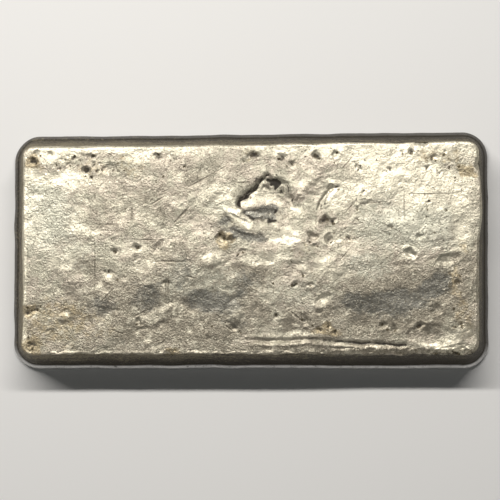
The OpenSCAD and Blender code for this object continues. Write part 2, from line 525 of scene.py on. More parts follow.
dents = [
    (410, 254, 8, 4, 0.4, 0.1, -22), (391, 228, 4, 2.6, 0.3, 0.1, 20),
    (388, 235, 4.5, 2.2, 0.25, 0.1, -15), (422, 238, 4, 2.4, 0.3, 0.2), (436, 312, 7, 4, 0.4, 0.2, 30),
    (437, 307, 8, 3, 0.25, 0.3, 10), (160, 246, 8, 3, 0.3, 0.6, 52), (108, 272, 8, 3, 0.16, 0.6),
    (313, 236, 7, 4, 0.45, 0.5, -25), (324, 300, 9, 5, 0.35, 0.2, 40),
    (321, 312, 5, 2.4, 0.25, 0.6, 15), (304, 320, 8, 3, 0.3, 0.6, -50), (172, 353, 6, 3, 0.3, 0.4, 35),
    (300, 207, 8, 10, 0.25, 0.2), (320, 192, 12, 11, 0.12, 0.1, 20), (459, 353, 10, 4, 0.55, 0.3, 8),
    (367, 205, 8, 3, 0.18, 0.1, 15), (450, 260, 14, 5, 0.25, 0.1, 20), (150, 300, 16, 14, 0.1, 0),
    (205, 303, 22, 12, 0.1, 0, 10), (240, 300, 12, 18, 0.1, 0), (75, 245, 22, 10, 0.1, 0, 10),
    (214, 260, 15, 7, -0.18, 0, 15), (236, 312, 9, 12, -0.2, 0), (160, 316, 24, 8, -0.2, 0, 25),
    (345, 262, 20, 22, -0.1, 0, 20), (412, 298, 44, 14, 0.04, 0, 10), (66, 318, 8, 4, -0.12, 0),
    (112, 279, 8, 4, -0.08, 0), (430, 335, 24, 10, 0.3, 0),
]
# The bottom of each pit and dent is darkened: soot, and painted shade in the hollow.
soot_and_shade = np.zeros(len(base_x))
for x, y, wide, tall, depth, darkening, *turn in pits + dents:
    relief += hollow(x, y, wide, tall, depth, *turn)
    soot_and_shade = np.maximum(soot_and_shade, darkening * blot(x, y, wide, tall, 1.5, 1.4, *turn))
print("pits and dents:", len(pits), len(dents))

# %% [markdown]
# ## The fallen-in patch and the cold shut
# Right of the crater a patch of skin fell in and left a stepped edge. Near the lower edge two
# streams of metal met without fusing: a dark groove with a ragged ledge just below it.

# %% Sink the patch, cut the cold shut
relief += hollow(319, 194, 18, 14, 0.18, turn=25, lip=0)
relief += seam([(340, 188), (333, 190), (328, 195), (322, 204), (318, 212)], 3, -0.32)
relief += seam([(314, 182), (330, 179), (352, 182)], 4, -0.08)
relief += seam([(337, 193), (330, 201), (324, 211)], 5, 0.12)
cold_shut = [(245, 340), (268, 341), (290, 341), (308, 339), (335, 342), (372, 344), (406, 346)]
ledge = [(x, y + 4.5) for x, y in cold_shut]
relief += seam(cold_shut, 2.6, -0.42)
relief += seam(ledge, 2.4, 0.18)
relief += seam([(420, 349), (445, 348), (466, 343)], 5, 0.18)
print("length of the cold shut:", round((cold_shut[-1][0] - cold_shut[0][0]) / px_per_mm, 1), "mm")

# %% [markdown]
# ## Soot and painted shade
# Soot and dirt stay wherever a cloth can't reach: in the cold shut, under the crater's cliff, in
# its cave, and in small holes around it. The same places are also darkened as painted shade: the
# face of the cliff, the foot of the crater's grey lens, and the cold shut, more toward its right end.
# The mesh keeps both as one value for each vertex, which the material turns black. Rows of holes
# give the pixel, the half sizes in pixels, and how dark it is made.

# %% Gather the soot and painted shade
# The cold shut's groove is darkened, more toward its right end: soot and painted shade.
shut_gap, shut_place = line_gap(cold_shut, line_x, line_y)
soot_and_shade = np.maximum(soot_and_shade, (0.45 + 0.6 * shut_place) * np.clip(1.3 - shut_gap / 1.8, 0, 1))
# Painted shade: the face of the crater's cliff is darkened.
soot_and_shade = np.maximum(soot_and_shade, 0.75 * area(cliff_top + cliff_foot[::-1], 1.2))
soot_and_shade = np.maximum(soot_and_shade, 1.1 * area(cave, 1.5))
# Painted shade with soot: the cliff's foot, the foot of the lens and the grooves right of the crater.
for line, wide, darkening in [
    (cliff_foot, 2.0, 1.0), ([(246, 217), (262, 218.5), (276, 221)], 2.0, 0.75),
    ([(288, 185), (291, 191)], 1.4, 0.9), ([(329, 190), (328, 198), (321, 213)], 1.6, 0.6),
    ([(322, 182), (338, 180), (350, 183)], 2.0, 0.3),
]:
    soot_and_shade = np.maximum(soot_and_shade, darkening * stroke(line, wide))
# Small holes around the crater, darkened: soot and painted shade.
for x, y, wide, tall, darkening in [
    (283.5, 192, 2.6, 3.4, 1.0), (269, 188.5, 3, 3, 0.75), (292.5, 200.5, 1.8, 3.2, 0.9),
    (276.5, 212, 2.4, 3, 0.9), (272.5, 220.5, 4, 2.2, 1.0), (278, 174, 1.6, 1.2, 0.9),
    (339, 188.5, 3, 2, 0.8), (254, 236, 1.6, 1.6, 0.8), (265, 235, 1.8, 3, 0.6),
    (266, 243, 1.6, 1.3, 0.7), (239, 256, 2.2, 1.4, 0.8), (292, 261, 1.5, 1.2, 0.8),
]:
    soot_and_shade = np.maximum(soot_and_shade, darkening * blot(x, y, wide, tall, 1.5, 1.2))
print("sooty share of the face:", round(100 * float((soot_and_shade[is_face] > 0.5).mean()), 1), "%")

# %% [markdown]
# ## Move the vertices
# The marks belong to the face, so their heights are faded out over the rings of the edge. The
# walls stay as the mould left them.

# %% Add the marks to the skin
share = np.where(is_face, 1.0, np.where(is_edge, 1 - (ring_of + 1) / (edge_steps + 1), 0.0))
points = read_points(bar)
points[:, 2] += relief * share * MM
print("marks lie between", round((relief * share).min(), 2), "and", round((relief * share).max(), 2), "mm")

# %% [markdown]
# ## Knocks in the edge
# Four knocks dent the edge. Each is a ball pressed into it: the vertices inside the ball move out
# to its surface. A Boolean with a sphere would cut the fine grid into slivers. The ball's radius
# wanders a little, so the dents come out ragged.

# %% Knock the edge
nick_r = 2.5
nick_depth = 0.45
nick_rise = (math.pi / 2 + draft) / 2
stand_off = worn_r / MM + nick_r - nick_depth
nick_axis = worn_rim[0, 0] / MM + stand_off * math.cos(nick_rise)
nick_z = (bar_h - worn_r) / MM + stand_off * math.sin(nick_rise)
nick_balls = [
    (core_x_mm + nick_axis, 19.6, nick_z),
    (40.9, core_y_mm + nick_axis, nick_z),
    (49.0, -core_y_mm - nick_axis, nick_z),
    (-19.0, -core_y_mm - nick_axis, nick_z),
]
ragged = 0.25 * lumps(0.9, 5)
for middle in nick_balls:
    away = points / MM - middle
    gap = np.linalg.norm(away, axis=1)
    push = np.clip(nick_r + ragged - gap, 0, None) / gap
    points += (away * push[:, None]) * MM
print("knocks in the edge:", len(nick_balls))

# %% [markdown]
# ## A mould that was not square
# The mould's walls wander a little, and its far wall is not parallel to the near one, so the far
# side of the bar runs out to the right. The top is turned a little against the foot, the upper
# half of its right edge stands out, and the near edge is battered where it is worn. A Lattice
# could do the large moves by hand; here each is a smooth amount added to the vertices.

# %% Let the walls wander
wall_wander = 0.12
wander_size = 5
rim = is_edge | is_wall | is_bead
for axis, base, core_mm, seed in ((0, base_x, core_x_mm, 6), (1, base_y, core_y_mm, 7)):
    past = rim & (np.abs(base) > core_mm)
    points[:, axis] += past * np.sign(base) * wall_wander * lumps(wander_size, seed) * MM
battered = near_side * is_edge * (1 - 0.7 * crisp) * wander((0.32, 1.2), (0.20, 0.6), 16)
points[:, 1:] += battered[:, None] * MM
print("walls wander by up to", wall_wander, "mm")

# %% Skew the top
skew_at = 42
flare = 0.40 * MM
twist = 0.19 * MM
bulge = 0.95 * MM
bulge_y = 10.5
bulge_half = 8.5
bulge_from = 46
bulge_run = 8
rise = np.clip(base_z / height_mm, 0, 1)
right_end = np.clip((base_x - bulge_from) / bulge_run, 0, 1)**2
points[:, 1] += flare * base_x / skew_at * np.clip(base_y / half_w_mm, 0, 1)**2
points[:, 1] += twist * base_x / skew_at * rise
points[:, 0] += bulge * right_end * rise**2 * np.exp(-((base_y - bulge_y) / bulge_half)**2)
points[:, 2] = np.maximum(points[:, 2], 0)
write_points(bar, points)
print("highest point of the skin:", round(points[:, 2].max() / MM, 2), "mm")

# %% [markdown]
# ## Where the tarnish lies
# Silver tarnishes unevenly: where it was rubbed it stays pale, where the skin is smooth it goes
# slate grey, and brown stains gather in rough corners. The pale paint along the far edge and at
# the far right is partly a painted highlight. Vertex paint would do this by hand. Here ovals with
# ragged outlines are painted into attributes of the mesh, which the material reads.
# Rows give the pixel of the middle, the half sizes in pixels, the strength, and the turn, if any.

# %% Patches of tarnish
# Rubbed spots, and a painted highlight along the far edge, at the far right and on the crater's tongue, where
# the lamp's light is strongest.
pale_and_highlight_patches = [
    (405, 152, 80, 13, 1), (395, 172, 46, 20, 0.9), (330, 149, 70, 8, 0.8), (200, 148, 80, 5, 0.5),
    (105, 149, 60, 6, 0.8), (55, 152, 28, 10, 0.8), (50, 176, 28, 8, 0.9), (80, 178, 26, 10, 0.7, -10),
    (83, 227, 15, 7, 0.8, -15), (266, 198, 20, 7, 0.6), (285, 236, 24, 9, 0.7, -10),
    (312, 182, 14, 8, 0.5), (214, 256, 14, 8, 0.5, -20), (266, 259, 30, 5, 0.7),
    (216, 193, 20, 10, 0.7, 15), (240, 218, 16, 6, 0.9, -35), (137, 247, 17, 11, 0.5),
    (350, 190, 30, 16, 0.7), (338, 200, 10, 14, 0.7), (330, 240, 14, 10, 0.6), (430, 190, 44, 22, 0.7),
    (462, 215, 14, 40, 0.6), (330, 268, 22, 16, 0.5), (456, 336, 18, 10, 0.5), (445, 348, 28, 5, 0.8),
    (110, 279, 8, 5, 0.5), (236, 312, 8, 11, 0.5), (160, 315, 24, 8, 0.4, 25),
    (62, 262, 20, 9, 0.6, 20), (140, 266, 16, 6, 0.5), (36, 225, 12, 30, 0.4), (330, 340, 70, 3, 0.4),
    (66, 315, 8, 5, 0.6), (322, 298, 8, 6, 0.7, 40), (410, 256, 7, 4, 0.9), (95, 290, 22, 4, 0.4),
    (300, 262, 10, 6, 0.5), (288, 334, 24, 4, 0.7), (122, 268, 16, 8, 0.4), (205, 203, 12, 6, 0.4, 30),
]
# The grey film lies mostly on the near half, which it darkens: tarnish, and there also painted shade.
film_and_shade_patches = [
    (155, 306, 100, 38, 0.7), (212, 302, 60, 34, 0.9), (405, 303, 75, 34, 1, 10),
    (330, 322, 60, 24, 0.7), (60, 335, 60, 20, 0.5), (185, 258, 60, 18, 0.5), (462, 290, 20, 40, 0.6),
    (250, 280, 30, 26, 0.7), (250, 350, 230, 8, 0.7), (390, 266, 50, 12, 0.4), (130, 205, 60, 30, 0.35),
    (200, 170, 40, 14, 0.5), (80, 265, 30, 14, 0.4), (340, 285, 40, 20, 0.4), (260, 213, 20, 6, 0.9),
    (320, 188, 16, 10, 0.2), (470, 240, 8, 60, 0.4), (175, 332, 70, 16, 0.9),
]
slate_patches = [
    (52, 288, 10, 13, 0.3), (103, 307, 15, 9, 0.8), (148, 296, 15, 17, 0.75), (212, 302, 30, 12, 1.15),
    (246, 286, 13, 18, 0.7, -20), (384, 301, 44, 11, 1.2, 4), (434, 289, 24, 11, 1.3, 14),
    (395, 306, 40, 8, 1, 4), (244, 238, 24, 6, 1.3, -6), (225, 224, 8, 6, 1.1), (80, 265, 12, 9, 0.5),
    (180, 274, 12, 22, 0.6), (365, 262, 30, 12, 0.3), (240, 322, 30, 10, 0.5), (130, 345, 40, 6, 0.4),
    (345, 320, 30, 12, 0.4), (395, 312, 30, 10, 0.6, 10), (261, 212, 19, 6, 1), (284, 214, 5, 10, 0.5),
    (115, 240, 30, 8, 0.4),
]
moss_patches = [
    (48, 215, 30, 40, 0.9), (415, 225, 60, 26, 0.8), (370, 265, 24, 12, 0.6), (60, 250, 40, 14, 0.5),
    (225, 208, 16, 10, 0.5), (400, 195, 40, 16, 0.5), (205, 285, 50, 20, 0.5), (300, 295, 40, 16, 0.4),
]
stain_patches = [
    (464, 316, 12, 30, 0.55), (455, 285, 10, 16, 0.5), (72, 160, 28, 9, 0.4), (92, 166, 16, 11, 0.5),
    (34, 160, 8, 8, 1), (223, 241, 10, 9, 0.8), (458, 282, 6, 15, 0.7), (464, 170, 9, 8, 1),
    (325, 330, 20, 5, 0.8), (58, 322, 44, 30, 0.6), (31, 311, 9, 8, 0.9), (33, 345, 11, 9, 0.9),
    (346, 243, 8, 9, 0.5), (171, 353, 9, 4, 0.7), (130, 165, 18, 12, 0.5), (250, 157, 16, 6, 0.5),
    (464, 250, 6, 12, 0.6), (461, 322, 10, 24, 0.5), (300, 250, 20, 8, 0.4), (290, 165, 12, 8, 0.4),
    (96, 330, 30, 18, 0.4), (322, 184, 12, 6, 0.15), (440, 158, 30, 8, 0.6),
]
print("patches of rubbing and stain:", len(pale_and_highlight_patches), len(stain_patches))

# %% [markdown]
# ## From patches to paint
# The coordinates wander further here than for the pits, because tarnish creeps in tongues. Along
# the crisp edge a thin bright line is painted first: the burr that hands and cloths rub bare, and a
# painted highlight too, dimmed on the near and right edges, which face away from the lamp.

# %% Paint the patches
def store(name, amount):
    """Keeps one value for each vertex, as an attribute that the material reads."""
    layer = bar.data.attributes.new(name, "FLOAT", "POINT")
    layer.data.foreach_set("value", amount.astype(np.float32))


def paint(name, patches, ready=0.0):
    """Attribute with these patches, laid over what is ready, on the face and its edge."""
    amount = ready + np.zeros(len(base_x))
    for x, y, wide, tall, strength, *turn in patches:
        amount = np.maximum(amount, strength * blot(x, y, wide, tall, 1.7, 1.2, *turn))
    amount = amount * is_top
    store(name, amount)
    print("painted", name, "over", round(100 * float((amount[is_face] > 0.3).mean())), "% of the face")


spot_x += wander((0.9, 4), (0.5, 1.8), 8)
spot_y += wander((0.9, 4), (0.5, 1.8), 10)
rightward = base_x / half_l_mm
burr_rings = 5
# Burr and painted highlight: strongest on the left, dim on the near and right edges, growing toward the right
# along the far edge.
burr_and_highlight = 0.9 * crisp * ((is_edge & (ring_of < burr_rings)) | (is_face & (past_core > 0.8)))
burr_and_highlight *= np.where((base_x < -core_x_mm) & (base_y < 0), 1.4, 1)
burr_and_highlight *= np.where((-base_y > core_y_mm) | (base_x > core_x_mm), 0.4, 1)
burr_and_highlight *= np.where(base_y > core_y_mm, np.clip(0.55 + 0.6 * rightward, 0.1, 1), 1)
paint("pale_and_highlight", pale_and_highlight_patches, burr_and_highlight)
paint("film", film_and_shade_patches)
paint("slate", slate_patches, 1.5 * area(lens, 2))
paint("moss", moss_patches)
paint("stain", stain_patches)
paint("soot_and_shade", [], soot_and_shade)

# %% [markdown]
# ## Dark sides and a bright bead
# Nobody rubbed the walls, so they kept a dark patina. It sets in ring by ring over a crisp edge,
# and by depth over the worn stretch, where it grows darker toward the foot and the right as painted
# shade. One place on the right edge is rubbed bright, and a notch near the right corner of the near
# edge is painted dark as shade in its dent. The bead is bare, most of all on the near side.

# %% Paint the sides and the bead
crisp_side = np.clip((ring_of + 1) / edge_steps, 0, 1.15)
# Painted shade: over the worn stretch the patina darkens toward the foot and the right.
worn_patina_and_shade = np.clip(0.60 + 0.1 * (height_mm - base_z) + 0.2 * rightward, 0, 1.2)
worn_stretch = near_side * np.clip(0.5 + (base_x - wear_x) / wear_run, 0, 1)
side = (1 - worn_stretch) * crisp_side + worn_stretch * worn_patina_and_shade
side = np.where(is_face, 0, side)
rubbed_y = face_spot(475, 191)[1]
rubbed_half = 7
rubbed = np.exp(-((base_y - rubbed_y) / rubbed_half)**2) * (is_edge & (base_x > core_x_mm))
side = side * (1 - 0.6 * rubbed)
# Painted shade: the notch's dent is painted dark with the patina.
side = np.maximum(side, 1.1 * blot(460, 354, 11, 4, 2.0, 1.6, turn=8) * is_top)
near_bead = np.clip((-base_y - core_y_mm) / (0.7 * corner_r / MM), 0, 1)
store("side", side)
store("bead", is_bead * (0.2 + 0.8 * near_bead))
print("dark share of the edge:", round(100 * float((side[is_edge] > 0.8).mean())), "%")

# %% [markdown]
# ## Node helpers
# A material is a graph of small steps. These helpers add one step and return its output, so the
# graph below reads like a sum. They find the graph by the sockets that they are given.

# %% Short names for shader nodes
def step(tree, kind, settings=None, sockets=None):
    """Adds a node, sets its properties, and fills its inputs with values or links."""
    node = tree.nodes.new("ShaderNode" + kind)
    for name, value in (settings or {}).items():
        setattr(node, name, value)
    for name, value in (sockets or {}).items():
        if isinstance(value, bpy.types.NodeSocket):
            tree.links.new(value, node.inputs[name])
        else:
            node.inputs[name].default_value = value
    return node


def tree_of(*values):
    """Node tree that the sockets among these values belong to."""
    return next(value.id_data for value in values if isinstance(value, bpy.types.NodeSocket))


def calc(operation, first, second, clamp=False):
    """One step of arithmetic."""
    settings = {"operation": operation, "use_clamp": clamp}
    return step(tree_of(first, second), "Math", settings, {0: first, 1: second}).outputs[0]


times, plus, minus = [partial(calc, operation) for operation in ("MULTIPLY", "ADD", "SUBTRACT")]


def most(masks):
    """Largest of several masks at each place."""
    largest = masks[0]
    for mask in masks[1:]:
        largest = calc("MAXIMUM", largest, mask)
    return largest


def vector(operation, *parts):
    """One step of arithmetic on vectors."""
    return step(tree_of(*parts), "VectorMath", {"operation": operation}, dict(enumerate(parts))).outputs[0]


def ease(value, low, high, start=0.0, end=1.0):
    """Smooth step from start to end while the value goes from low to high."""
    sockets = {"Value": value, "From Min": low, "From Max": high, "To Min": start, "To Max": end}
    return step(value.id_data, "MapRange", {"interpolation_type": "SMOOTHSTEP"}, sockets).outputs[0]


def clouds(where, scale, detail=3.0, rough=0.6, twist=0.0):
    """Noise from 0 to 1, with this many lumps in a millimetre."""
    sockets = {"Vector": where, "Scale": scale, "Detail": detail, "Roughness": rough, "Distortion": twist}
    return step(where.id_data, "TexNoise", None, sockets).outputs[0]


print("helpers made: step, calc, times, plus, minus, most, vector, ease, clouds")

# %% [markdown]
# ## Cast grain
# The skin sparkles because it is made of frozen crystals, about half a millimetre across. Modelling
# them would take millions of faces, so they are a bump from two sizes of noise, with small pocks,
# and with short dashes in three directions where the skin was scuffed. Places are in millimetres.

# %% Node group for the cast grain
grain = bpy.data.node_groups.new("cast_grain", "ShaderNodeTree")
grain.interface.new_socket("Place", in_out="INPUT", socket_type="NodeSocketVector")
grain_outputs = ("Height", "Pocks", "Dashes", "Film")
for name in grain_outputs:
    grain.interface.new_socket(name, in_out="OUTPUT", socket_type="NodeSocketFloat")
grain_in = grain.nodes.new("NodeGroupInput")
grain_out = grain.nodes.new("NodeGroupOutput")
place = grain_in.outputs["Place"]
sway = step(grain, "TexNoise", None, {"Vector": place, "Scale": 0.9, "Detail": 2.0}).outputs["Color"]
bent = vector("MULTIPLY_ADD", sway, (1.1, 1.1, 1.1), place)
facets = step(grain, "TexVoronoi", None, {"Vector": bent, "Scale": 1.9}).outputs["Distance"]
dust = clouds(place, 2.9, 4, 0.75)
rough_zone = ease(clouds(place, 0.28, 3, 0.6), 0.36, 0.64, 0.3, 1.0)
cells = step(grain, "TexVoronoi", None, {"Vector": bent, "Scale": 0.8}).outputs["Distance"]
rarely = ease(clouds(place, 0.5, 2), 0.50, 0.60)
pocks = times(ease(cells, 0.08, 0.2, 1.0, 0.0), rarely)
dash_size = (3.2, 0.5, 3.2)
dashes = []
# Each set of dashes has its own turn, in radians, and its own layer of the pattern.
for turn, layer in ((0.7, 3.0), (-0.5, 11.0), (1.6, 23.0)):
    sockets = {"Vector": place, "Rotation": (0, 0, turn), "Scale": dash_size, "Location": (0, 0, layer)}
    drawn = step(grain, "Mapping", {"vector_type": "TEXTURE"}, sockets).outputs[0]
    spots = step(grain, "TexVoronoi", None, {"Vector": drawn, "Scale": 1.0}).outputs["Distance"]
    dashes.append(ease(spots, 0.10, 0.30, 1.0, 0.0))
scuffed = ease(clouds(place, 0.6, 3, 0.6), 0.42, 0.58)
dashes = times(most(dashes), scuffed)
height = times(plus(times(facets, 0.5), dust), rough_zone)
height = minus(height, times(dashes, 0.22))
height = minus(height, times(pocks, 0.5))
film = clouds(place, 0.22, 5, 0.65, 0.6)
for name, value in zip(grain_outputs, (height, pocks, dashes, film)):
    grain.links.new(value, grain_out.inputs[name])
print("grain nodes:", len(grain.nodes))

# %% [markdown]
# ## The finish
# The metal itself is one metallic shader. Its colour is laid in coats, as on the real bar:
# warm silver with a thin grey film, pale where it was rubbed, slate and brown tarnish, soot in the
# pits, and last the dark patina of the walls, which nobody ever rubbed. Some coats carry painted
# light as well: the film is partly painted shade on the near half, the pale coat partly a painted
# highlight along the far edge, the soot partly painted shade, and the patina's gradients painted
# shade. The bead along the foot takes every knock, so it is burnished again.

# %% Read the paint
finish = bpy.data.materials.new("cast_silver")
finish.use_nodes = True
tree = finish.node_tree
shader = tree.nodes["Principled BSDF"]
metres = step(tree, "TexCoord").outputs["Object"]
place = step(tree, "VectorMath", {"operation": "SCALE"}, {0: metres, "Scale": 1 / MM}).outputs[0]
painted = {}
for name in ("pale_and_highlight", "film", "slate", "moss", "stain", "soot_and_shade", "side", "bead"):
    painted[name] = step(tree, "Attribute", {"attribute_name": name}).outputs["Fac"]
grain_node = step(tree, "Group", {"node_tree": grain}, {"Place": place})
film = grain_node.outputs["Film"]
mottle = clouds(place, 0.8, 4, 0.7)
shifted_place = vector("ADD", place, (31.0, 17.0, 5.0))
print("painted values read:", len(painted))

# %% [markdown]
# ## Scratches
# Tools and other bars scored the face with lines only one to three cells of the mesh wide, so they
# stay in the material, as colour and bump. Each is a spot of falling values drawn out along its
# line. Rows give the pixels of both ends, and the half width in millimetres.

# %% Lay the scratches
def dot(where, x, y, long, wide, turn=0.0):
    """Value that falls from 1 in the middle of an oval, given in mm, to 0 on its outline."""
    through_all = 1e4
    size = (long, wide, through_all)
    sockets = {"Vector": where, "Location": (x, y, 0), "Rotation": (0, 0, turn), "Scale": size}
    laid = step(where.id_data, "Mapping", {"vector_type": "TEXTURE"}, sockets).outputs[0]
    return step(where.id_data, "TexGradient", {"gradient_type": "SPHERICAL"}, {"Vector": laid}).outputs["Fac"]


scratches = [
    (184, 191, 230, 165, 0.24), (172, 227, 193, 205, 0.4), (151, 206, 167, 196, 0.26),
    (341, 172, 356, 155, 0.28), (408, 194.5, 458, 194, 0.2), (95, 225, 122, 225, 0.26),
    (152, 262, 190, 262, 0.3), (167, 270, 167, 303, 0.22), (170, 272, 169, 300, 0.22),
    (133, 204, 133, 222, 0.2), (101, 304, 118, 286, 0.26), (217, 314, 223, 320, 0.28),
    (226, 325, 234, 332, 0.32), (112, 330, 126, 335, 0.26), (114, 337, 122, 337, 0.26),
    (232, 183, 254, 183, 0.3), (287, 308, 305, 323, 0.36), (366, 204, 388, 202, 0.26),
    (186, 276, 197, 279, 0.36), (239, 345, 262, 341, 0.24), (133, 318, 150, 310, 0.3),
    (340, 262, 352, 248, 0.24), (345, 215, 358, 200, 0.22), (165, 208, 166, 222, 0.18),
    (130, 240, 170, 241, 0.2), (380, 222, 400, 232, 0.2), (405, 190, 405, 222, 0.16),
    (96, 240, 96, 290, 0.16),
]
scored = []
for x0, y0, x1, y1, half_width in scratches:
    ax, ay = face_spot(x0, y0)
    bx, by = face_spot(x1, y1)
    half_length = math.hypot(bx - ax, by - ay) / 2
    turn = math.atan2(by - ay, bx - ax)
    scored.append(dot(place, (ax + bx) / 2, (ay + by) / 2, half_length, half_width, turn))
scored = calc("POWER", most(scored), 0.6)
print("scratches:", len(scratches))

# %% [markdown]
# ## Pinholes
# Besides the pits there are pinholes, only two to four cells of the mesh wide, too few for a crisp
# outline. They stay in the material: each is a dark spot of falling values, seen through coordinates
# that wander, so that none comes out round. The mesh has no hole there, so the dark is painted
# shade and soot. Their pixels are listed by half size in pixels.

# %% Prick the pinholes
pinholes = {
    1.2: [(419, 151), (377, 160), (418, 212), (157, 183), (316, 275), (461, 293), (456, 327)],
    1.3: [(427, 205), (435, 233), (126, 209), (274, 284), (242, 333)],
    1.4: [(436, 161), (456, 178), (361, 166), (335, 163), (288, 166), (335, 234), (61, 170), (86, 177),
          (114, 171), (125, 171), (292, 262), (42, 307), (42, 301), (119, 280), (228, 276), (213, 327),
          (241, 331)],
    1.5: [(359, 170), (428, 210), (427, 218), (447, 211), (359, 220), (350, 240), (313, 326)],
    1.6: [(403, 154), (450, 168), (460, 167), (465, 171), (257, 154), (430, 201), (358, 210), (365, 191),
          (332, 243), (37, 164), (41, 156), (66, 160), (57, 165), (71, 166), (103, 171), (119, 164),
          (185, 167), (164, 177), (245, 162), (244, 253), (304, 276), (297, 284), (311, 286), (320, 329),
          (388, 330), (396, 331), (30, 338), (110, 272), (138, 325)],
    1.7: [(391, 170), (459, 283)],
    1.8: [(433, 159), (338, 153), (293, 165), (280, 159), (311, 243), (318, 247), (92, 177), (95, 165),
          (239, 255), (303, 320), (329, 327), (336, 331), (383, 325), (462, 326), (454, 309), (39, 310),
          (33, 311), (29, 308), (34, 349)],
    1.9: [(427, 169), (277, 315)],
    2.0: [(445, 155), (320, 159), (339, 190), (334, 224), (94, 156), (159, 155), (221, 235), (225, 239),
          (293, 286)],
    2.2: [(412, 154), (75, 157), (116, 252), (419, 327)],
    2.4: [(253, 156), (139, 248), (31, 343)],
    2.6: [(316, 156), (328, 220), (34, 159), (86, 170)],
}
wobble = step(tree, "TexNoise", None, {"Vector": place, "Scale": 1.6, "Detail": 2.0}).outputs["Color"]
wobble = vector("SUBTRACT", wobble, (0.5, 0.5, 0.5))
wobbly_place = vector("MULTIPLY_ADD", wobble, (0.9, 0.9, 0.0), place)
pricked = []
for half_size, spots in pinholes.items():
    half_mm = half_size / px_per_mm
    for x, y in spots:
        pricked.append(dot(wobbly_place, *face_spot(x, y), half_mm, half_mm))
print("pinholes:", len(pricked))
pricked = ease(most(pricked), 0.08, 0.45)

# %% [markdown]
# ## Coats of colour
# Each coat is mixed over the ones before it by a mask: painted places broken up by noise, or
# noise alone. The order is about the order in which a bar gets them.

# %% Masks
def ragged_mask(amount, noise, spread_by, low, high):
    """Painted amount with its edge broken up by noise."""
    wandering = times(minus(noise, 0.5), spread_by)
    return ease(plus(amount, wandering), low, high)


# Rubbed silver, and a painted highlight along the far edge and at the far right.
pale_and_highlight_mask = ragged_mask(painted["pale_and_highlight"], clouds(place, 0.5, 4, 0.65), 0.9, 0.15, 0.8)
slate_mask = ragged_mask(painted["slate"], mottle, 1.5, 0.25, 1.0)
stain_mask = ragged_mask(painted["stain"], mottle, 1.4, 0.35, 0.85)
soot_and_shade_mask = ragged_mask(painted["soot_and_shade"], mottle, 1.3, 0.35, 0.95)
side_mask = ragged_mask(painted["side"], clouds(place, 0.9, 4, 0.7), 1.0, 0.70, 0.98)
pepper = ease(clouds(place, 2.6, 3, 0.7), 0.54, 0.66)
salt = ease(clouds(shifted_place, 2.9, 3, 0.7), 0.56, 0.68)
# Grey film, and painted shade on the near half.
film_and_shade_mask = ragged_mask(painted["film"], film, 1.6, 0.0, 0.9)
moss_mask = ragged_mask(painted["moss"], mottle, 1.4, 0.1, 0.9)
tone = ease(clouds(shifted_place, 0.2, 6, 0.75), 0.42, 0.58)
cream = ease(clouds(shifted_place, 0.6, 5, 0.72), 0.53, 0.63)
cream = times(cream, ease(painted["film"], 0.0, 1.0, 0.35, 0.7))
print("painted masks: pale, slate, stain, soot, side, film, moss; from noise: pepper, salt, tone, cream")

# %% Colour in coats
def blend(amount, first, second):
    """Mixes two colours by an amount."""
    node = step(amount.id_data, "Mix", {"data_type": "RGBA"}, {"Factor": amount})
    for name, value in (("A", first), ("B", second)):
        socket = [s for s in node.inputs if s.name == name and s.type == "RGBA"][0]
        if isinstance(value, bpy.types.NodeSocket):
            amount.id_data.links.new(value, socket)
        else:
            socket.default_value = (*value, 1)
    return [s for s in node.outputs if s.type == "RGBA"][0]


olive_silver = (0.44, 0.41, 0.318)
rose_silver = (0.475, 0.416, 0.333)
grey_film_and_shade = (0.27, 0.24, 0.185)
rubbed_silver_and_highlight = (0.70, 0.645, 0.505)
slate_tarnish = (0.15, 0.145, 0.125)
moss_film = (0.52, 0.505, 0.405)
brown_stain = (0.34, 0.27, 0.16)
pepper_dark = (0.13, 0.11, 0.08)
pit_soot_and_shade = (0.035, 0.028, 0.02)
pinhole_shade_and_soot = (0.07, 0.055, 0.032)
wall_dark = (0.030, 0.022, 0.010)
wall_pale = (0.205, 0.172, 0.105)
bead_metal = (0.61, 0.60, 0.585)
# The grey film darkens the near half: tarnish and painted shade.
colour = blend(film_and_shade_mask, blend(tone, olive_silver, rose_silver), grey_film_and_shade)
coats = [
    (cream, 1.0, rubbed_silver_and_highlight),
    (moss_mask, 0.8, moss_film),
    # Rubbed silver, partly a painted highlight.
    (pale_and_highlight_mask, 1.0, rubbed_silver_and_highlight),
    (slate_mask, 0.9, slate_tarnish),
    (stain_mask, 0.75, brown_stain),
    (pepper, 0.7, pepper_dark),
    (salt, 0.6, rubbed_silver_and_highlight),
    (grain_node.outputs["Pocks"], 0.7, pepper_dark),
    (grain_node.outputs["Dashes"], 0.4, pepper_dark),
    (scored, 0.55, pepper_dark),
    # Soot and painted shade in pits, grooves and the crater.
    (soot_and_shade_mask, 1.0, pit_soot_and_shade),
    # Painted shade and soot of the pinholes.
    (pricked, 0.85, pinhole_shade_and_soot),
]
for mask, strength, tint in coats:
    colour = blend(times(mask, strength), colour, tint)
print("coats of colour:", len(coats))

# %% [markdown]
# ## Patina and painted shade of the walls
# The walls are mottled: slow ripples and fine specks. Over these they are paler toward the top and
# the left and darker on the near side, which is painted shade, toward the foot partly dirt too. Rows
# of shade give a direction, where it starts and ends in millimetres, and the shade at both. The
# bead's bare metal goes over the patina, and both go over the coats.

# %% Patina, painted shade and bead
ripple_place = vector("MULTIPLY", place, (0.15, 0.15, 0.5))
ripples = clouds(ripple_place, 1.0, 4, 0.6)
specks = clouds(shifted_place, 1.5, 5, 0.8)
wall_mottle_and_shade = plus(times(ripples, 0.4), times(specks, 1.1))
along, across, above = step(tree, "SeparateXYZ", None, {"Vector": place}).outputs
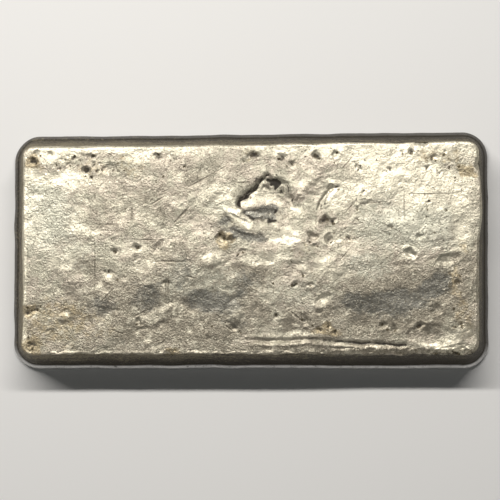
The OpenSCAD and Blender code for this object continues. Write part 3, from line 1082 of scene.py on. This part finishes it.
# Painted shade on the patina: darker toward the foot, toward the right and on the near side.
wall_painted_shades = [
    (above, 1, 14, -0.12, 0.07),
    (along, -50, 50, 0.055, -0.045),
    (across, -28, -20, -0.06, 0),
]
for direction, start, end, start_shade, end_shade in wall_painted_shades:
    wall_mottle_and_shade = plus(wall_mottle_and_shade, ease(direction, start, end, start_shade, end_shade))
patina_and_shade = blend(ease(wall_mottle_and_shade, 0.71, 0.87), wall_dark, wall_pale)
bead_mask = times(painted["bead"], ease(mottle, 0.1, 0.5))
patina_and_shade = blend(bead_mask, patina_and_shade, bead_metal)
colour = blend(side_mask, colour, patina_and_shade)
tree.links.new(colour, shader.inputs["Base Color"])
print("shades along the walls:", len(wall_painted_shades))

# %% [markdown]
# ## Metal, gloss and bump
# Bare silver is all metal. Soot with its painted shade, and the patina, are not, so they take some
# of the metal away and dull the gloss. Grain and scratches are one bump, calmer where tarnish or
# rubbing smoothed the skin.

# %% Metal, gloss and bump
bare_gloss = 0.38
grain_height = 0.16
scratch_depth = 0.08
unburnished = calc("SUBTRACT", 0.8, bead_mask, clamp=True)
dull = most([soot_and_shade_mask, times(side_mask, unburnished)])
tree.links.new(minus(1.0, times(dull, 0.7)), shader.inputs["Metallic"])
gloss = plus(bare_gloss, times(film, 0.12))
tree.links.new(plus(gloss, times(dull, 0.25)), shader.inputs["Roughness"])
grain_share = minus(1.0, times(slate_mask, 0.4))
grain_share = minus(grain_share, times(pale_and_highlight_mask, 0.35))
height = times(times(grain_node.outputs["Height"], grain_height), grain_share)
height = minus(height, times(scored, scratch_depth))
bump = step(tree, "Bump", None, {"Height": height, "Distance": MM, "Strength": 1.0})
tree.links.new(bump.outputs["Normal"], shader.inputs["Normal"])
bar.data.materials.append(finish)
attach(bar, "root")
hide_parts("ingot")
print("finish nodes:", len(tree.nodes))

# %% [markdown]
# ## Floor
# The bar lies on a white sheet. It belongs to the picture, not to the part, so it is only staged.

# %% Floor
bpy.ops.object.select_all(action="DESELECT")
floor_size = 6
bpy.ops.mesh.primitive_plane_add(size=floor_size)
floor = bpy.context.object
floor.name = "floor"
paper = bpy.data.materials.new("floor_paper")
paper.use_nodes = True
paper_shader = paper.node_tree.nodes["Principled BSDF"]
paper_shader.inputs["Base Color"].default_value = (0.82, 0.805, 0.783, 1)
paper_shader.inputs["Roughness"].default_value = 0.9
floor.data.materials.append(paper)
print("floor of", floor_size, "x", floor_size, "m")

# %% [markdown]
# ## Light
# One long lamp hangs beyond the far edge. It is narrow across, so the shadow on the near side has
# a sharp edge, and long, so the shadow's ends draw in. The metal also mirrors the room: a sky that
# is bright at the horizon, which camera and reflections see, while the fill light stays weak.

# %% Light
lamp_data = bpy.data.lights.new("strip_lamp", "AREA")
lamp_data.shape = "RECTANGLE"
lamp_data.size = 0.47
lamp_data.size_y = 0.022
lamp_data.energy = 2.25
lamp_data.color = (1.0, 0.985, 0.96)
lamp = bpy.data.objects.new("strip_lamp", lamp_data)
lamp.location = (-0.08, 0.204, 0.404)
lamp_back = Vector((0, lamp.location.y, lamp.location.z)).normalized()
lamp_up = lamp_back.cross(Vector((1, 0, 0)))
lamp.rotation_euler = Matrix((Vector((1, 0, 0)), lamp_up, lamp_back)).transposed().to_euler()
bpy.context.collection.objects.link(lamp)

world = bpy.data.worlds.new("studio")
bpy.context.scene.world = world
world.use_nodes = True
sky = world.node_tree
toward = step(sky, "TexCoord").outputs["Generated"]
skyward = step(sky, "SeparateXYZ", None, {"Vector": toward}).outputs["Z"]
ramp = step(sky, "ValToRGB", None, {"Fac": skyward})
horizon, zenith = ramp.color_ramp.elements
horizon.position = 0.0
horizon.color = (0.75, 0.74, 0.72, 1)
zenith.position = 0.8
zenith.color = (0.12, 0.12, 0.12, 1)
fill_light = (0.079, 0.083, 0.083)
rays = step(sky, "LightPath")
seen = most([rays.outputs[name] for name in ("Is Camera Ray", "Is Glossy Ray", "Is Transmission Ray")])
sky_colour = blend(seen, fill_light, ramp.outputs["Color"])
sky.links.new(sky_colour, sky.nodes["Background"].inputs["Color"])
print("lamp of", round(lamp_data.size, 3), "x", round(lamp_data.size_y, 3), "m at", lamp_data.energy, "W")

# %% [markdown]
# ## Camera
# The photograph was taken with a long lens from nearly straight above, a little to the near side
# and the right. The camera is turned by a matrix, so that its picture stays level with the bar.

# %% Camera
camera_data = bpy.data.cameras.new("camera")
camera_data.sensor_width = 36
camera_data.lens = 140.6
camera = bpy.data.objects.new("camera", camera_data)
camera.location = (0.0055, -0.020, 0.48)
aim = Vector((-0.0002, 0.0003, 0.002))
back = (camera.location - aim).normalized()
up = back.cross(Vector((1, 0, 0))).normalized()
camera.rotation_euler = Matrix((up.cross(back), up, back)).transposed().to_euler()
bpy.context.collection.objects.link(camera)
bpy.context.scene.camera = camera
print("camera", round((camera.location - aim).length, 3), "m away, lens", round(camera_data.lens, 1), "mm")
